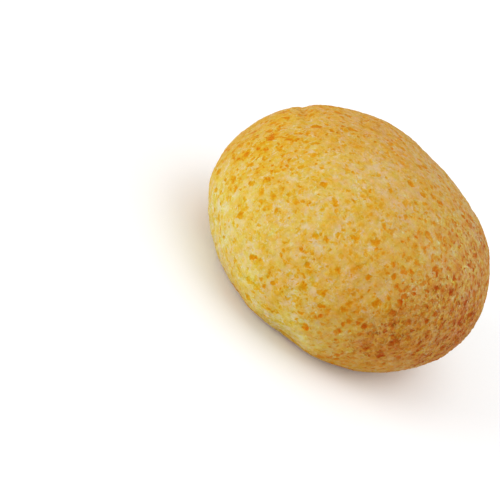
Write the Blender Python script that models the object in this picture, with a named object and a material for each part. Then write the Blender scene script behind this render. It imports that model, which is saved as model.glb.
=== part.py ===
"""A baked cheese ball, the small round bread made from cassava starch and cheese, as one solid.

Run it with blender --background --python part.py, or from Blender's text editor. The ball stands on
the flat underside that it was baked on. The origin is the middle of that underside, +X runs along the
ball's slightly longer side and +Z points up.
"""

import math

import bmesh
import bpy
from mathutils import Vector

# Driving sizes, in metres.
LENGTH = 0.0606  # across the belly along X, before the swells
DEPTH = 0.0600  # across the belly along Y
HEIGHT = 0.0370
UNDERSIDE_WIDTH = 0.0400  # the flat that rested on the tray
BELLY_SHARE = 0.40  # height of the widest ring, as a share of the whole

# How full the two curves of the profile are: 2 is an ellipse, more is squarer.
CROWN_FULLNESS = 2.1
FOOT_FULLNESS = 2.0

# The dough rises unevenly: direction of each swell or dent as azimuth and elevation in degrees, seen
# from the middle of the belly ring, then its height in metres. All spread over the same angle.
SWELL_SPREAD = 20  # degrees
SWELLS = (
    (0, 0, 0.0010),
    (18, 32, 0.0007),
    (54, 58, -0.0006),
    (126, 58, 0.0012),
    (162, 32, 0.0009),
    (180, 0, 0.0012),
    (-162, -32, -0.0002),
    (-126, -58, -0.0008),
    (-54, -58, 0.0004),
    (-18, -32, -0.0006),
)

# Fineness of the faceted solid.
CROWN_RINGS = 20
FOOT_RINGS = 12
ROUND_STEPS = 64

CRUST_COLOUR = (0.624, 0.361, 0.080, 1.0)
CRUST_ROUGHNESS = 0.6


def clear_scene():
    for thing in list(bpy.data.objects):
        bpy.data.objects.remove(thing)


def half_profile():
    """Points (radius, height) of a circular ball, from the crown's middle down and in under the foot."""
    belly_radius = DEPTH / 2
    belly_height = HEIGHT * BELLY_SHARE
    foot_radius = UNDERSIDE_WIDTH / 2
    points = []
    for ring in range(CROWN_RINGS):
        turn = math.pi / 2 * (1 - ring / CROWN_RINGS)
        radius = belly_radius * math.cos(turn) ** (2 / CROWN_FULLNESS)
        rise = (HEIGHT - belly_height) * math.sin(turn) ** (2 / CROWN_FULLNESS)
        points.append((0.0 if ring == 0 else radius, belly_height + rise))
    for ring in range(FOOT_RINGS + 1):
        turn = math.pi / 2 * ring / FOOT_RINGS
        overhang = (belly_radius - foot_radius) * math.cos(turn) ** (2 / FOOT_FULLNESS)
        drop = belly_height * math.sin(turn) ** (2 / FOOT_FULLNESS)
        points.append((foot_radius + overhang, belly_height - drop))
    return points


def turned_ball():
    """The half profile spun round Z and closed across the underside."""
    ball = bmesh.new()
    outline = [ball.verts.new((radius, 0, height)) for radius, height in half_profile()]
    edges = [ball.edges.new(pair) for pair in zip(outline, outline[1:])]
    bmesh.ops.spin(
        ball,
        geom=outline + edges,
        cent=(0, 0, 0),
        axis=(0, 0, 1),
        angle=2 * math.pi,
        steps=ROUND_STEPS,
        use_merge=True,
    )
    bmesh.ops.remove_doubles(ball, verts=ball.verts, dist=1e-6)
    rim = [edge for edge in ball.edges if edge.is_boundary]
    bmesh.ops.contextual_create(ball, geom=rim)
    bmesh.ops.recalc_face_normals(ball, faces=ball.faces)
    return ball


def direction(azimuth, elevation):
    """Unit vector for two angles in degrees."""
    turn, climb = math.radians(azimuth), math.radians(elevation)
    return Vector(
        (
            math.cos(turn) * math.cos(climb),
            math.sin(turn) * math.cos(climb),
            math.sin(climb),
        )
    )


def swell_at(way):
    """How much further out the surface lies in the direction way than on the plain turned ball, as a share."""
    width = 1 - math.cos(math.radians(SWELL_SPREAD))
    share = 0.0
    for azimuth, elevation, height in SWELLS:
        nearness = way.dot(direction(azimuth, elevation)) - 1
        share += 2 * height / DEPTH * math.exp(nearness / width)
    return share


def rise_unevenly(ball):
    """Stretches the turned ball to its length and adds the swells, and leaves the underside flat."""
    middle = Vector((0, 0, HEIGHT * BELLY_SHARE))
    for vert in ball.verts:
        growth = 1 + swell_at((vert.co - middle).normalized())
        vert.co.x *= growth * LENGTH / DEPTH
        vert.co.y *= growth
        if vert.co.z > middle.z:
            vert.co.z = middle.z + (vert.co.z - middle.z) * growth


def centre_on_underside(ball):
    """Moves the ball so that the origin lies under the middle of its bounding box."""
    lowest = Vector(min(vert.co[axis] for vert in ball.verts) for axis in range(3))
    highest = Vector(max(vert.co[axis] for vert in ball.verts) for axis in range(3))
    middle = (lowest + highest) / 2
    bmesh.ops.translate(ball, verts=ball.verts, vec=(-middle.x, -middle.y, -lowest.z))


def crust_material():
    material = bpy.data.materials.new("crust")
    material.use_nodes = True
    shader = material.node_tree.nodes["Principled BSDF"]
    shader.inputs["Base Color"].default_value = CRUST_COLOUR
    shader.inputs["Roughness"].default_value = CRUST_ROUGHNESS
    shader.inputs["Metallic"].default_value = 0.0
    return material


def make_cheese_ball():
    ball = turned_ball()
    rise_unevenly(ball)
    centre_on_underside(ball)
    mesh = bpy.data.meshes.new("cheese_ball")
    ball.to_mesh(mesh)
    ball.free()
    mesh.shade_smooth()
    mesh.materials.append(crust_material())
    cheese_ball = bpy.data.objects.new("cheese_ball", mesh)
    bpy.context.scene.collection.objects.link(cheese_ball)
    return cheese_ball


clear_scene()
make_cheese_ball()
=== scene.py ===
"""The finish of a baked cheese ball: its fine crust in place of the plain solid, a floor, light, a camera."""

import math

import bmesh
import bpy
from mathutils import Matrix, Vector
from mathutils.bvhtree import BVHTree


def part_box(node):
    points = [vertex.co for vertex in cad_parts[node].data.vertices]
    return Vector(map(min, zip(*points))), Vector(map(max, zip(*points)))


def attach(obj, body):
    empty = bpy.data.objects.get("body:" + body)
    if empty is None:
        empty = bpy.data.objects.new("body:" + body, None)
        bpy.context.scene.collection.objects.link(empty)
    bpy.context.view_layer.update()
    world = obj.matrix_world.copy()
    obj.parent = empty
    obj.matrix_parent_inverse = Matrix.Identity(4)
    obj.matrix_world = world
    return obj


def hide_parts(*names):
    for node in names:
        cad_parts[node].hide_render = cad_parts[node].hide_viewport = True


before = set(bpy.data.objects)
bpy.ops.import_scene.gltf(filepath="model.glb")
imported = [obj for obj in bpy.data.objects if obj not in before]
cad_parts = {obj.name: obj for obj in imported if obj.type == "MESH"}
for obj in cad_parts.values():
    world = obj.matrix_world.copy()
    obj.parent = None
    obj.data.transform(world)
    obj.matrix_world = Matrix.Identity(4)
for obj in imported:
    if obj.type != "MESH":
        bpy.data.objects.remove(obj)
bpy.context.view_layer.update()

MM = 0.001  # metres in a millimetre; every pattern below is sized in millimetres

BALL_TOP = Vector(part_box("cheese_ball")[1]).z
BELLY_SHARE = 0.40  # height of the ball's widest ring, as a share of the whole, as in the solid
BELLY_MIDDLE = Vector((0, 0, BELLY_SHARE * BALL_TOP))

# The skin of the ball: a finely divided cube, blown up onto the solid.
SKIN_CUTS = 127  # across each side of the cube
SKIN_SMOOTHING = 30  # passes that take the facets of the solid out of it

# Camera, as its place seen from the middle of the ball.
CAMERA_ELEVATION = 27  # degrees
CAMERA_ROLL = 38.58  # degrees that the view is turned clockwise
CAMERA_DISTANCE = 0.330
CAMERA_LENS = 115.7  # millimetres, on a sensor of 36
SIGHTED_HEIGHT = 0.015  # above the floor, of the point that the camera's place is measured from
AIM_RIGHT, AIM_UP = -0.02028, -0.00237  # how far off that point the camera looks

# The floor glows low around the ball, and brighter from DULL_FLOOR to BRIGHT_FLOOR metres away, where the
# lamps no longer reach it.
FLOOR_SIZE = 60.0
NEAR_GLOW, FAR_GLOW = 0.07, 0.50
DULL_FLOOR, BRIGHT_FLOOR = 0.6, 1.6
PAPER_WHITE = (0.88, 0.88, 0.88, 1)

# Soft boxes: azimuth and elevation from the ball, distance and width in metres, and watts.
SOFT_BOXES = {
    "key": (-150, 15, 4.0, 2.4, 96),
    "top": (0, 88, 1.3, 1.2, 4.5),
    "fill": (0, 60, 1.0, 0.8, 2.3),
}
SKY_STRENGTH = 0.68

# Browned pores by size: how far apart they lie and their smallest and largest radius in millimetres, the
# share of them that is there, how much that share grows where they crowd, and a seed.
PORES = {
    "large": (2.9, 0.30, 0.80, 0.22, 0.45, 3),
    "medium": (1.8, 0.28, 0.72, 0.55, 0.40, 4),
    "small": (1.1, 0.15, 0.42, 0.45, 0.35, 5),
}

# How they brown: the depths inside their edge, in millimetres, where the brown sets in and where it is full,
# the least of it that a pore has, and how much more it may have by chance.
PORE_BROWNING = {
    "large": (-0.36, 0.40, 0.55, 1.0),
    "medium": (-0.26, 0.26, 0.55, 1.0),
    "small": (-0.15, 0.15, 0.45, 0.8),
}
PORE_STRETCH = 0.6  # 0 for round pores, towards 1 for long ones
CLUSTER_SIZE = 3.6  # millimetres across the clusters that the pores keep to

BLISTER_SIZE = 1.5  # millimetres across the blisters of the toasted skin

# Pale streaks of stretched skin: the way they run, how much they are drawn out, and the zones where they are,
# as azimuth, elevation, reach and how much. The last zone, high on the near side, is painted highlight broken
# into pale streaks.
STREAK_WAY = Vector((-0.62, 0.45, 0.64)).normalized()
STREAK_STRETCH = 0.65
STREAKED_AND_HIGHLIT_ZONES = ((-104, 23, 11, 1.0), (-112, 2, 6, 1.0), (-100, 64, 9, 1.0))

# The foot, in millimetres: how wide the sole is, the heights from where the sole and the pale rim fade in to
# where they are full, and the height of the browned line over them.
SOLE_RADIUS = 23
SOLE_FADE = (0.9, 0.3)
RIM_FADE = (2.1, 1.2)
BROWNED_LINE = 2.4

# Heights and depths of the relief, in millimetres.
CLOUD_SWELL, MOTTLE_SWELL, BLOTCH_DIP = 0.60, 0.45, 0.20
LARGE_PIT, MEDIUM_PIT, BLISTER_DIP = 0.22, 0.15, 0.09
CRAZING_RIDGE = 0.08
SOLE_DIP = 0.06
SOLE_FLATNESS = 0.85  # how much of the relief the tray has pressed away

# Short creases over the shoulder of the ball: the way they run, and azimuth and elevation of the middle of
# each, half its width and half its length in degrees, and its depth in millimetres.
CREASE_WAY = Vector((0, -0.89, 0.45)).normalized()
CREASES = ((173, 33, 2.3, 14, 0.75), (157, 57, 1.8, 12, 0.35))

# Broad low swellings and hollows of the ball: azimuth, elevation, reach, and height in millimetres.
SWELLINGS = (
    (-175, 11, 9, -0.60),
    (-161, -4, 8, 0.75),
    (-143, -15, 9, -0.90),
    (-130, -18, 8, -0.25),
    (-103, -22, 8, 0.60),
    (-85, -23, 8, -0.75),
    (-69, -22, 7, 0.30),
    (-48, -18, 12, -0.12),
    (2, 24, 9, -0.35),
    (80, 62, 22, -0.22),
)

# Zones whose flecks are redder than their surroundings call for: azimuth, elevation, reach and how much.
REDDENED_ZONES = (
    (-80, 30, 12, 0.15),
    (-75, -10, 12, 0.40),
    (-62, -14, 14, 0.40),
    (-58, 40, 15, 0.30),
    (-57, 22, 9, 0.45),
    (-28, 42, 17, 0.60),
    (-26, 24, 13, 0.40),
    (0, 38, 14, 0.35),
    (40, 55, 35, 0.40),
    (100, 30, 20, 0.25),
)
REDDEST = 1.1

# Colours of the crust. A stain is the share of red, green and blue that one measure of it lets through.
DOUGH = (0.538, 0.282, 0.0355)  # where nothing is stained more or less than usual
YELLOW_STAIN = (1.00, 0.85, 0.30)
BROWN_STAIN = (0.89, 0.60, 0.50)
LEAST_YELLOW, LEAST_BROWN, MOST_BROWN = -1.3, -1.6, 3.2  # measures, which the crust nears but doesn't pass

# Where the oven has coloured the ball more or less than usual, round the ball, and a painted highlight: the
# middle of each zone as azimuth and elevation in degrees, how many degrees it spreads over, its measures of
# yellow and brown stain, and how much stronger its flecks are. The two zones high on the near side, at
# elevations 64 and 65,
# are a painted highlight: paler skin with fewer flecks.
TOASTED_AND_HIGHLIT_ZONES = (
    (-175, 27, 7, 0.55, -0.20, 0.00),
    (-174, 42, 7, -0.20, -0.10, 0.00),
    (-164, 1, 10, 0.60, 0.10, 0.10),
    (-152, 23, 20, 1.05, -0.25, 0.60),
    (-146, 55, 13, 0.25, 0.00, 0.00),
    (-143, -12, 26, -0.45, -0.75, 0.00),
    (-141, 27, 6, 0.45, 0.05, 0.10),
    (-136, 42, 9, -0.60, -0.20, 0.00),
    (-126, 8, 10, 0.45, -0.20, 0.20),
    (-123, -14, 8, 0.35, 0.00, 0.00),
    (-117, 33, 6, 0.35, 0.00, 0.00),
    (-112, 9, 8, 0.35, -0.05, 0.00),
    (-111, -11, 8, -0.35, -0.25, 0.00),
    # Painted highlight: paler skin high on the near side.
    (-111, 65, 7, -0.50, -0.05, 0.00),
    (-109, 37, 6, -0.25, 0.00, 0.00),
    (-105, 32, 28, -0.15, -0.35, -0.05),
    (-101, -11, 6, 0.20, 0.40, 0.10),
    (-97, 1, 7, 0.40, 0.20, 0.00),
    # Painted highlight: paler skin with fewer flecks.
    (-97, 64, 12, -0.20, -0.10, -0.20),
    (-95, -18, 22, 0.00, -0.60, -0.05),
    (-95, 31, 9, 0.30, 0.10, 0.10),
    (-93, -4, 6, 0.00, 0.15, 0.45),
    (-92, 2, 14, 0.00, -0.15, 0.30),
    (-91, 12, 6, 0.20, 0.20, 0.00),
    (-80, -18, 9, -0.75, -0.40, -0.40),
    (-76, -4, 10, 0.15, 0.25, 0.20),
    (-74, 16, 6, 0.00, 0.20, 0.10),
    (-64, 43, 7, -0.15, 0.35, 0.10),
    (-63, 13, 7, 0.00, -0.40, 0.00),
    (-62, -14, 12, 0.05, 0.25, 0.10),
    (-62, 22, 7, 0.00, 0.20, 0.00),
    (-57, 22, 9, -0.10, 0.10, 0.45),
    (-54, 3, 13, -0.05, 0.95, -0.05),
    (-44, 40, 12, -0.35, -0.35, 0.00),
    (-42, 27, 9, -0.25, 0.40, 0.20),
    (-30, 42, 12, -0.15, 0.20, 0.15),
    (-19, 6, 23, -0.35, 1.35, 0.10),
    (-18, 27, 9, -0.55, -0.20, 0.00),
    (5, 40, 14, -0.55, 0.40, 0.30),
    (20, -10, 22, 0.10, 0.35, 0.20),
    (60, -5, 28, -0.25, -0.15, 0.10),
    (60, 60, 38, -0.55, 0.10, -0.05),
    (110, 10, 30, 0.15, 0.50, 0.20),
    (156, 63, 9, 0.00, 0.30, 0.00),
    (165, -5, 25, -0.20, -0.25, 0.00),
)


# ---------------------------------------------------------------- sums on sockets


class Value:
    """What one socket gives out. Ordinary sums on it add Math nodes to its tree."""

    def __init__(self, tree, socket):
        self.tree = tree
        self.socket = socket

    def node(self, kind, settings=None, inputs=None, output=0):
        """Adds a node, with its settings first and then its inputs, and returns one of its outputs."""
        made = self.tree.nodes.new(kind)
        for name, setting in (settings or {}).items():
            setattr(made, name, setting)
        for name, value in (inputs or {}).items():
            if isinstance(value, Value):
                self.tree.links.new(value.socket, made.inputs[name])
            else:
                made.inputs[name].default_value = value
        return Value(self.tree, made.outputs[output])

    def out(self, name):
        """Another output of the same node."""
        return Value(self.tree, self.socket.node.outputs[name])

    def maths(self, operation, *others):
        """One Math node, whose first value is this one."""
        return self.node("ShaderNodeMath", {"operation": operation}, dict(enumerate((self, *others))))

    def vectors(self, operation, *others, output=0):
        """One Vector Math node, whose first vector is this one."""
        inputs = dict(enumerate((self, *others)))
        return self.node("ShaderNodeVectorMath", {"operation": operation}, inputs, output)

    def __add__(self, other):
        return self.maths("ADD", other)

    def __sub__(self, other):
        return self.maths("SUBTRACT", other)

    def __rsub__(self, other):
        return self.node("ShaderNodeMath", {"operation": "SUBTRACT"}, {0: other, 1: self})

    def __mul__(self, other):
        return self.maths("MULTIPLY", other)

    def __pow__(self, other):
        return self.maths("POWER", other)

    def __abs__(self):
        return self.maths("ABSOLUTE")

    __radd__ = __add__
    __rmul__ = __mul__

    def over(self, low, high):
        """0 where this is low or beyond, 1 where it is high or beyond, and a soft step between."""
        inputs = {0: self, 1: low, 2: high}
        return self.node("ShaderNodeMapRange", {"interpolation_type": "SMOOTHSTEP"}, inputs)

    def most(self, other):
        return self.maths("MAXIMUM", other)

    def shifted(self, vector):
        return self.vectors("ADD", vector)

    def scaled(self, factor):
        return self.node("ShaderNodeVectorMath", {"operation": "SCALE"}, {0: self, "Scale": factor})

    def scaling(self, vector):
        """A fixed vector or colour, scaled by this value."""
        return self.node("ShaderNodeVectorMath", {"operation": "SCALE"}, {0: vector, "Scale": self})

    def dot(self, other):
        return self.vectors("DOT_PRODUCT", other, output="Value")

    def length(self):
        return self.vectors("LENGTH", output="Value")

    def part(self, axis):
        """The x, y or z of a vector, or the red, green or blue of a colour."""
        return self.node("ShaderNodeSeparateXYZ", None, {0: self}, axis)


def noise(place, size, seed, detail=2.0, roughness=0.5, output=0):
    """Soft noise about 0.5, whose lumps are about size millimetres across."""
    moved = place.shifted((17.3 * seed, -9.1 * seed, 5.7 * seed))
    inputs = {"Vector": moved, "Scale": 1 / size, "Detail": detail, "Roughness": roughness}
    return place.node("ShaderNodeTexNoise", None, inputs, output)


def wandering(place, size, reach, seed):
    """place, pushed about by up to half of reach, in lumps of size millimetres."""
    push = noise(place, size, seed, detail=1.0, output=1).shifted((-0.5, -0.5, -0.5))
    return place.shifted(push.scaled(reach))


# ---------------------------------------------------------------- zones, creases and pores


def toward(azimuth, elevation):
    """Unit vector for two angles in degrees, seen from the middle of the belly."""
    turn, climb = math.radians(azimuth), math.radians(elevation)
    flat = math.cos(climb)
    return (math.cos(turn) * flat, math.sin(turn) * flat, math.sin(climb))


def zone(way, azimuth, elevation, reach):
    """1 in the middle of a patch of the ball and fading away over reach degrees, as a bell curve does."""
    width = 1 - math.cos(math.radians(reach))
    return ((way.dot(toward(azimuth, elevation)) - 1) * (1 / width)).maths("EXPONENT")


def summed(way, zones, start=0.0):
    """start, and what each zone adds to it: azimuth, elevation, reach and how much in its middle."""
    total = start
    for azimuth, elevation, reach, amount in zones:
        total = zone(way, azimuth, elevation, reach) * amount + total
    return total


def crease(way, azimuth, elevation, width, length, depth):
    """A short soft-edged groove along CREASE_WAY, as deep as depth in its middle."""
    middle = Vector(toward(azimuth, elevation))
    across = way.dot(CREASE_WAY.cross(middle).normalized()) * (1 / math.radians(width))
    along = way.shifted(-middle).dot(CREASE_WAY) * (1 / math.radians(length))
    same_side = way.dot(middle).over(0.5, 0.7)
    return (across * across * -1 - along * along).maths("EXPONENT") * same_side * depth


def pores(place, spacing, smallest, largest, share, seed):
    """Scattered round or drawn-out spots: (how deep inside a spot in millimetres, random colour per spot).

    The depth is below 0 outside the spots. share, from 0 to 1, is how many of them are there.
    """
    moved = place.shifted((11.9 * seed, 7.7 * seed, -13.1 * seed))
    inputs = {"Vector": moved, "Scale": 1 / spacing, "Randomness": 1.0}
    cell = place.node("ShaderNodeTexVoronoi", {"feature": "F1"}, inputs, "Distance")
    chance = cell.out("Color")
    away = moved.vectors("SUBTRACT", cell.out("Position"))
    grain = chance.shifted((-0.5, -0.5, -0.5)).vectors("NORMALIZE")
    along = away.dot(grain)
    distance = (away.dot(away) - along * along * PORE_STRETCH) ** 0.5
    radius = smallest + (chance.part(0) ** 1.5) * (largest - smallest)
    there = (share - chance.part(1)).over(-0.03, 0.03)
    return (radius - distance) * there - (1 - there), chance


# ---------------------------------------------------------------- patterns of the crust


def mottling(place):
    """Soft changes of shade, from the size of a crumb up to that of a fingertip."""
    return {
        "grain": noise(place, 0.8, 14, detail=3.0, roughness=0.75),
        "hue": noise(place, 1.2, 25, detail=3.0, roughness=0.75),
        "mottle": noise(place, 2.2, 12, detail=3.0, roughness=0.6),
        "tint": noise(place, 2.6, 21, detail=4.0, roughness=0.65),
        "cloud": noise(place, 9.0, 13),
    }


def baking(way):
    """How much the oven has yellowed, browned, flecked and reddened each side of the ball, and a painted
    highlight high on the near side that takes yellow and brown away.
    """
    yellowing_and_highlight, browning_and_highlight, strength = 0.0, 0.0, 1.0
    for azimuth, elevation, reach, yellow, brown, flecks in TOASTED_AND_HIGHLIT_ZONES:
        patch = zone(way, azimuth, elevation, reach)
        yellowing_and_highlight = patch * yellow + yellowing_and_highlight
        browning_and_highlight = patch * brown + browning_and_highlight
        strength = patch * flecks + strength
    toast = browning_and_highlight.over(-0.15, 1.15)
    redness = summed(way, REDDENED_ZONES, toast).maths("MINIMUM", REDDEST)
    return {
        "yellowing_and_highlight": yellowing_and_highlight,
        "browning_and_highlight": browning_and_highlight,
        "strength": strength,
        "toast": toast,
        "redness": redness,
    }


def browned_spots(place, made):
    """Browned pores of three sizes, which keep together in clusters, and blotches between them."""
    found = {}
    strayed = wandering(wandering(place, 2.4, 1.4, 2), 0.6, 0.9, 16)
    crowd = (made["browning_and_highlight"] * 0.5 + made["strength"] - 1).over(-0.5, 1.0)
    cluster = (noise(place, CLUSTER_SIZE, 30) - 0.5) * 1.3
    spots = 0.0
    for kind, (spacing, smallest, largest, share, crowding, seed) in PORES.items():
        there = share + crowd * crowding + cluster
        found[kind], chance = pores(strayed, spacing, smallest, largest, there, seed)
        shallow, deep, least, more = PORE_BROWNING[kind]
        spots = (found[kind].over(shallow, deep) * (least + chance.part(2) * more)).most(spots)
    spots = spots * (1 + (made["hue"] - 0.5) * 1.8 + (made["grain"] - 0.5) * 1.8)
    found["blotches"] = noise(wandering(place, 1.6, 1.2, 6), 1.3, 7, detail=3.0, roughness=0.6)
    found["spots"] = spots.most(found["blotches"].over(0.53, 0.70) * (0.5 + crowd * 0.4))
    return found


def blistered_skin(place):
    """Blistered skin of the toasted parts: small dished cells of uneven brown, with pale walls."""
    inputs = {"Vector": wandering(place, 1.3, 1.2, 22), "Scale": 1 / BLISTER_SIZE, "Randomness": 1.0}
    edge = place.node("ShaderNodeTexVoronoi", {"feature": "DISTANCE_TO_EDGE"}, inputs, "Distance")
    shade = place.node("ShaderNodeTexVoronoi", {"feature": "F1"}, inputs, "Color")
    inside = (edge * BLISTER_SIZE).over(0.02, 0.22)
    return {"blisters": inside * (0.55 + shade.part(0) * 0.8)}


def highlit_lips(made):
    """Raised lips around the pores, painted pale as a highlight on their tops."""
    near = made["medium"].most(made["large"])
    return {"highlit_lips": near.over(-0.34, -0.20) * (1 - near.over(-0.16, 0.0))}


def dry_skin(place, way, made):
    """Pale crazing in thin broken ridges, pale flakes of loose skin, and pale streaks of stretched skin and
    of painted highlight.
    """
    # This also covers the painted highlight high on the near side, where pale streaks and crazing break it
    # up.
    streaked_and_highlit = summed(way, STREAKED_AND_HIGHLIT_ZONES)
    ridge = noise(wandering(place, 2.0, 1.5, 8), 2.2, 9, detail=3.0, roughness=0.6)
    line = abs(ridge - 0.5).over(0.05, 0.005)
    broken = noise(place, 4.5, 10).over(0.44, 0.58)
    crazing = line * broken * (1 - made["spots"]) * (1 + streaked_and_highlit * 0.5)
    flakes = noise(wandering(place, 1.0, 0.6, 27), 1.0, 28, detail=3.0, roughness=0.6).over(0.59, 0.70)
    drawn_out = place.shifted((place.dot(STREAK_WAY) * -STREAK_STRETCH).scaling(STREAK_WAY))
    streaks = noise(wandering(drawn_out, 1.2, 0.6, 23), 1.1, 24, detail=3.0, roughness=0.6).over(0.50, 0.64)
    return {"crazing": crazing, "flakes": flakes, "streaks": streaks * streaked_and_highlit}


def foot(place):
    """Where the ball stood on the tray: a toasted sole, a pale rim and a broken browned line over it."""
    height = place.part(2) + (noise(place, 3.0, 15) - 0.5) * 1.2
    return {
        "underside": height.over(*SOLE_FADE),
        "sole edge": place.length().over(SOLE_RADIUS * 0.35, SOLE_RADIUS),
        "rim": height.over(*RIM_FADE) * noise(place, 6.0, 29).over(0.25, 0.60),
        "browned line": abs(height - BROWNED_LINE).over(0.6, 0.2) * noise(place, 3.5, 26).over(0.45, 0.58),
    }


def uneven_rise(way):
    """The creases over the shoulder, and the broad swellings, in millimetres."""
    creases = 0.0
    for details in CREASES:
        creases = crease(way, *details) + creases
    return {"creases": creases, "swelling": summed(way, SWELLINGS)}


def crust_patterns(place):
    """Every pattern of the crust by name, from a place in millimetres."""
    to_middle = tuple(-BELLY_MIDDLE / MM)
    way = place.shifted(to_middle).vectors("NORMALIZE")
    strayed_way = wandering(place, 6.0, 7.0, 1).shifted(to_middle).vectors("NORMALIZE")
    made = mottling(place)
    made.update(baking(strayed_way))
    made.update(browned_spots(place, made))
    made.update(blistered_skin(place))
    made.update(highlit_lips(made))
    made.update(dry_skin(place, strayed_way, made))
    made.update(foot(place))
    made.update(uneven_rise(way))
    return made


def crust_relief(made):
    """Height of the crust over the plain form, in millimetres."""
    swell = (made["cloud"] - 0.5) * CLOUD_SWELL + (made["mottle"] - 0.5) * MOTTLE_SWELL
    swell = swell - (made["blotches"] - 0.5) * BLOTCH_DIP + made["swelling"] + made["crazing"] * CRAZING_RIDGE
    pits = made["large"].over(-0.15, 0.45) * LARGE_PIT + made["medium"].over(-0.12, 0.35) * MEDIUM_PIT
    pits = pits * (0.5 + made["toast"] * 0.7) + made["blisters"] * made["toast"] * BLISTER_DIP
    sole = made["underside"]
    return (swell - pits - made["creases"]) * (1 - sole * SOLE_FLATNESS) - sole * SOLE_DIP


# ---------------------------------------------------------------- the crust as a mesh


def solid_as_guide():
    """The plain solid's own surface, to blow the skin onto."""
    guide = bmesh.new()
    guide.from_mesh(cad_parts["cheese_ball"].data)
    bmesh.ops.remove_doubles(guide, verts=guide.verts, dist=1e-6)
    tree = BVHTree.FromBMesh(guide)
    guide.free()
    return tree


def even_cube():
    """A finely divided cube whose sides turn into nearly even squares on a ball."""
    cube = bmesh.new()
    bmesh.ops.create_cube(cube, size=2)
    bmesh.ops.subdivide_edges(cube, edges=cube.edges, cuts=SKIN_CUTS, use_grid_fill=True)
    for vert in cube.verts:
        vert.co = Vector(math.tan(part * math.pi / 4) for part in vert.co)
    return cube


def blown_skin():
    """The skin without its relief, blown up from the middle of the belly onto the solid, and smoothed."""
    skin = even_cube()
    guide = solid_as_guide()
    for vert in skin.verts:
        vert.co = guide.ray_cast(BELLY_MIDDLE, vert.co.normalized())[0]
    for _ in range(SKIN_SMOOTHING):
        bmesh.ops.smooth_vert(
            skin, verts=skin.verts, factor=0.5, use_axis_x=True, use_axis_y=True, use_axis_z=True
        )
    bmesh.ops.recalc_face_normals(skin, faces=skin.faces)
    mesh = bpy.data.meshes.new("crust")
    skin.to_mesh(mesh)
    skin.free()
    mesh.shade_smooth()
    crust = bpy.data.objects.new("crust", mesh)
    bpy.context.scene.collection.objects.link(crust)
    return crust


def raise_relief(crust):
    """Pushes the skin in at its pores and out at its ridges, along its own normals, for good."""
    tree = bpy.data.node_groups.new("crust relief", "GeometryNodeTree")
    tree.interface.new_socket("Skin", in_out="INPUT", socket_type="NodeSocketGeometry")
    tree.interface.new_socket("Crust", in_out="OUTPUT", socket_type="NodeSocketGeometry")
    skin = Value(tree, tree.nodes.new("NodeGroupInput").outputs[0])
    place = skin.node("GeometryNodeInputPosition").scaled(1 / MM)
    lift = crust_relief(crust_patterns(place)) * MM
    offset = skin.node("GeometryNodeInputNormal").scaled(lift)
    raised = skin.node("GeometryNodeSetPosition", None, {"Geometry": skin, "Offset": offset})
    tree.links.new(raised.socket, tree.nodes.new("NodeGroupOutput").inputs[0])
    crust.modifiers.new("relief", "NODES").node_group = tree
    finished = bpy.data.meshes.new_from_object(crust.evaluated_get(bpy.context.evaluated_depsgraph_get()))
    crust.modifiers.clear()
    plain = crust.data
    crust.data = finished
    bpy.data.meshes.remove(plain)
    finished.name = "crust"
    finished.shade_smooth()


# ---------------------------------------------------------------- the crust's finish


def stained(stain, measures):
    """What a stain lets through of red, green and blue, for a varying number of measures."""
    return measures.node("ShaderNodeVectorMath", {"operation": "POWER"}, {0: stain, 1: measures})


def crust_stain(made):
    """How much more than its surroundings each place has coloured, before it is known how yellow or brown."""
    soft = (made["mottle"] - 0.5) * 2.1 + (made["cloud"] - 0.5) * 0.8 + (made["grain"] - 0.5) * 0.5
    stain = made["spots"] * 1.15 + soft - 0.25
    stain = stain.maths("SMOOTH_MAX", -0.5, 0.3) - made["streaks"] * 0.35
    # The lips are made paler here as a painted highlight on their tops.
    stain = stain - made["crazing"] * 0.30 - made["highlit_lips"] * 0.15 - made["flakes"] * 0.30
    return (stain + made["browned line"] * 0.6) * made["strength"]


def sole_stains(made):
    """Measures of yellow and of brown on the sole, which is toasted in soft patches, most at its edge."""
    patches = (made["cloud"] - 0.5) * 2.0 + (made["mottle"] - 0.5) * 1.4
    yellow = (made["tint"] - 0.5) * 1.6 + made["spots"] * 0.3 - 0.4
    brown = patches + made["sole edge"] * 0.5 + made["spots"] * 0.4 + (made["hue"] - 0.5) + 0.5
    return yellow, brown


def crust_colour(made):
    """The dough, stained by two dyes of the oven, the more where a pore or a blotch has browned."""
    stain, toast, redness = crust_stain(made), made["toast"], made["redness"]
    blistering = (made["blisters"] - 0.75) * toast
    turn = (made["tint"] - 0.5) * (1.2 + toast * 0.6) + (made["hue"] - 0.5) * (1.4 + redness * 0.3)
    yellowed = stain * (1.8 - redness * 1.3) + blistering * 0.65 - turn * 1.25
    browned = stain * (0.04 + redness * 1.10) + blistering * 0.2 - made["flakes"] * 0.25 + turn
    yellow = made["yellowing_and_highlight"] + yellowed - made["rim"] * 0.15
    brown = made["browning_and_highlight"] + browned + made["browned line"] * 0.3 - made["rim"] * 0.25
    brown = brown.maths("SMOOTH_MIN", MOST_BROWN, 0.8)
    sole = made["underside"]
    yellow_sole, brown_sole = sole_stains(made)
    yellow = yellow.maths("SMOOTH_MAX", LEAST_YELLOW, 0.3) * (1 - sole) + yellow_sole * sole
    brown = brown.maths("SMOOTH_MAX", LEAST_BROWN, 0.3) * (1 - sole) + brown_sole * sole
    # Brown skin stays a little lighter than its stain alone would leave it, and deep yellow skin gets darker.
    light = 1 - (made["grain"] - 0.5) * (0.40 + toast * 0.40) + made["crazing"] * 0.04
    light = light + browned * (0.22 - redness * 0.16) - yellowed.most(0) * (0.03 + toast * 0.05)
    light = light + made["rim"] * 0.05
    colour = stained(YELLOW_STAIN, yellow).vectors("MULTIPLY", stained(BROWN_STAIN, brown))
    return colour.vectors("MULTIPLY", DOUGH).scaled(light)


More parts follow.
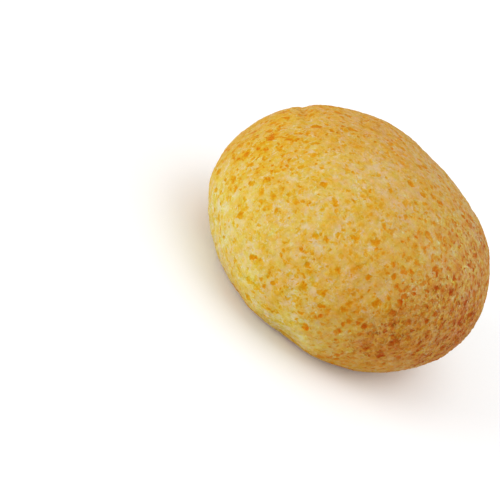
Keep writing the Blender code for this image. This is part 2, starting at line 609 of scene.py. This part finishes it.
def fine_relief(made):
    """Heights too fine for the mesh, in millimetres: grain, pores, their lips, blisters and crazing."""
    pits = made["spots"] * (0.04 + made["toast"] * 0.28) - made["highlit_lips"] * (0.03 + made["toast"] * 0.06)
    pits = pits + made["blisters"] * made["toast"] * 0.08
    return made["grain"] * 0.28 - pits + made["crazing"] * 0.05 + made["mottle"] * 0.2


def crust_material():
    material = bpy.data.materials.new("crust")
    material.use_nodes = True
    tree = material.node_tree
    shader = tree.nodes["Principled BSDF"]
    seen = Value(tree, tree.nodes.new("ShaderNodeTexCoord").outputs["Object"])
    made = crust_patterns(seen.scaled(1 / MM))
    roughness = 0.62 - made["spots"] * 0.12 + (made["grain"] - 0.5) * 0.2
    heights = {"Height": fine_relief(made), "Distance": MM, "Strength": 0.8}
    bump = seen.node("ShaderNodeBump", None, heights, "Normal")
    tree.links.new(crust_colour(made).socket, shader.inputs["Base Color"])
    tree.links.new(roughness.socket, shader.inputs["Roughness"])
    tree.links.new(bump.socket, shader.inputs["Normal"])
    shader.inputs["Specular IOR Level"].default_value = 0.03
    return material


def make_crust():
    crust = blown_skin()
    raise_relief(crust)
    crust.data.materials.clear()
    crust.data.materials.append(crust_material())
    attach(crust, "root")
    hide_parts("cheese_ball")


# ---------------------------------------------------------------- floor, light and camera


def glowing_paper():
    """White paper over a light table that is turned low in its middle."""
    material = bpy.data.materials.new("glowing paper")
    material.use_nodes = True
    tree = material.node_tree
    shader = tree.nodes["Principled BSDF"]
    place = Value(tree, tree.nodes.new("ShaderNodeTexCoord").outputs["Object"])
    far = place.length().over(DULL_FLOOR, BRIGHT_FLOOR)
    glow = (far * (FAR_GLOW - NEAR_GLOW) + NEAR_GLOW).scaling((1, 1, 1))
    tree.links.new(glow.socket, shader.inputs["Emission Color"])
    shader.inputs["Base Color"].default_value = PAPER_WHITE
    shader.inputs["Roughness"].default_value = 0.9
    shader.inputs["Specular IOR Level"].default_value = 0.1
    shader.inputs["Emission Strength"].default_value = 1.0
    return material


def make_floor():
    plane = bmesh.new()
    bmesh.ops.create_grid(plane, x_segments=1, y_segments=1, size=FLOOR_SIZE / 2)
    mesh = bpy.data.meshes.new("floor")
    plane.to_mesh(mesh)
    plane.free()
    mesh.materials.append(glowing_paper())
    floor = bpy.data.objects.new("floor", mesh)
    bpy.context.scene.collection.objects.link(floor)


def soft_box(name, azimuth, elevation, distance, width, power):
    """A square soft box that faces the ball."""
    lamp = bpy.data.lights.new(name, "AREA")
    lamp.size = width
    lamp.energy = power
    box = bpy.data.objects.new(name, lamp)
    bpy.context.scene.collection.objects.link(box)
    way = Vector(toward(azimuth, elevation))
    box.location = BELLY_MIDDLE + way * distance
    box.rotation_euler = way.to_track_quat("Z", "Y").to_euler()


def make_light():
    world = bpy.data.worlds.new("studio")
    world.use_nodes = True
    sky = world.node_tree.nodes["Background"]
    sky.inputs["Color"].default_value = (1, 1, 1, 1)
    sky.inputs["Strength"].default_value = SKY_STRENGTH
    bpy.context.scene.world = world
    bpy.context.scene.view_settings.view_transform = "Standard"
    for name, details in SOFT_BOXES.items():
        soft_box(name, *details)


def make_camera():
    climb, roll = math.radians(CAMERA_ELEVATION), math.radians(CAMERA_ROLL)
    sighted = Vector((0, 0, SIGHTED_HEIGHT))
    back = Vector((0, -math.cos(climb), math.sin(climb)))
    level = Vector((1, 0, 0))
    upright = Vector((0, math.sin(climb), math.cos(climb)))
    right = level * math.cos(roll) + upright * math.sin(roll)
    up = upright * math.cos(roll) - level * math.sin(roll)
    stand = sighted + back * CAMERA_DISTANCE
    aim = sighted + right * AIM_RIGHT + up * AIM_UP
    behind = (stand - aim).normalized()
    right = (right - behind * right.dot(behind)).normalized()
    up = behind.cross(right)
    lens = bpy.data.cameras.new("camera")
    lens.lens = CAMERA_LENS
    camera = bpy.data.objects.new("camera", lens)
    turned = Matrix((right, up, behind)).transposed().to_4x4()
    camera.matrix_world = Matrix.Translation(stand) @ turned
    bpy.context.scene.collection.objects.link(camera)
    bpy.context.scene.camera = camera


make_camera()
make_crust()
make_floor()
make_light()
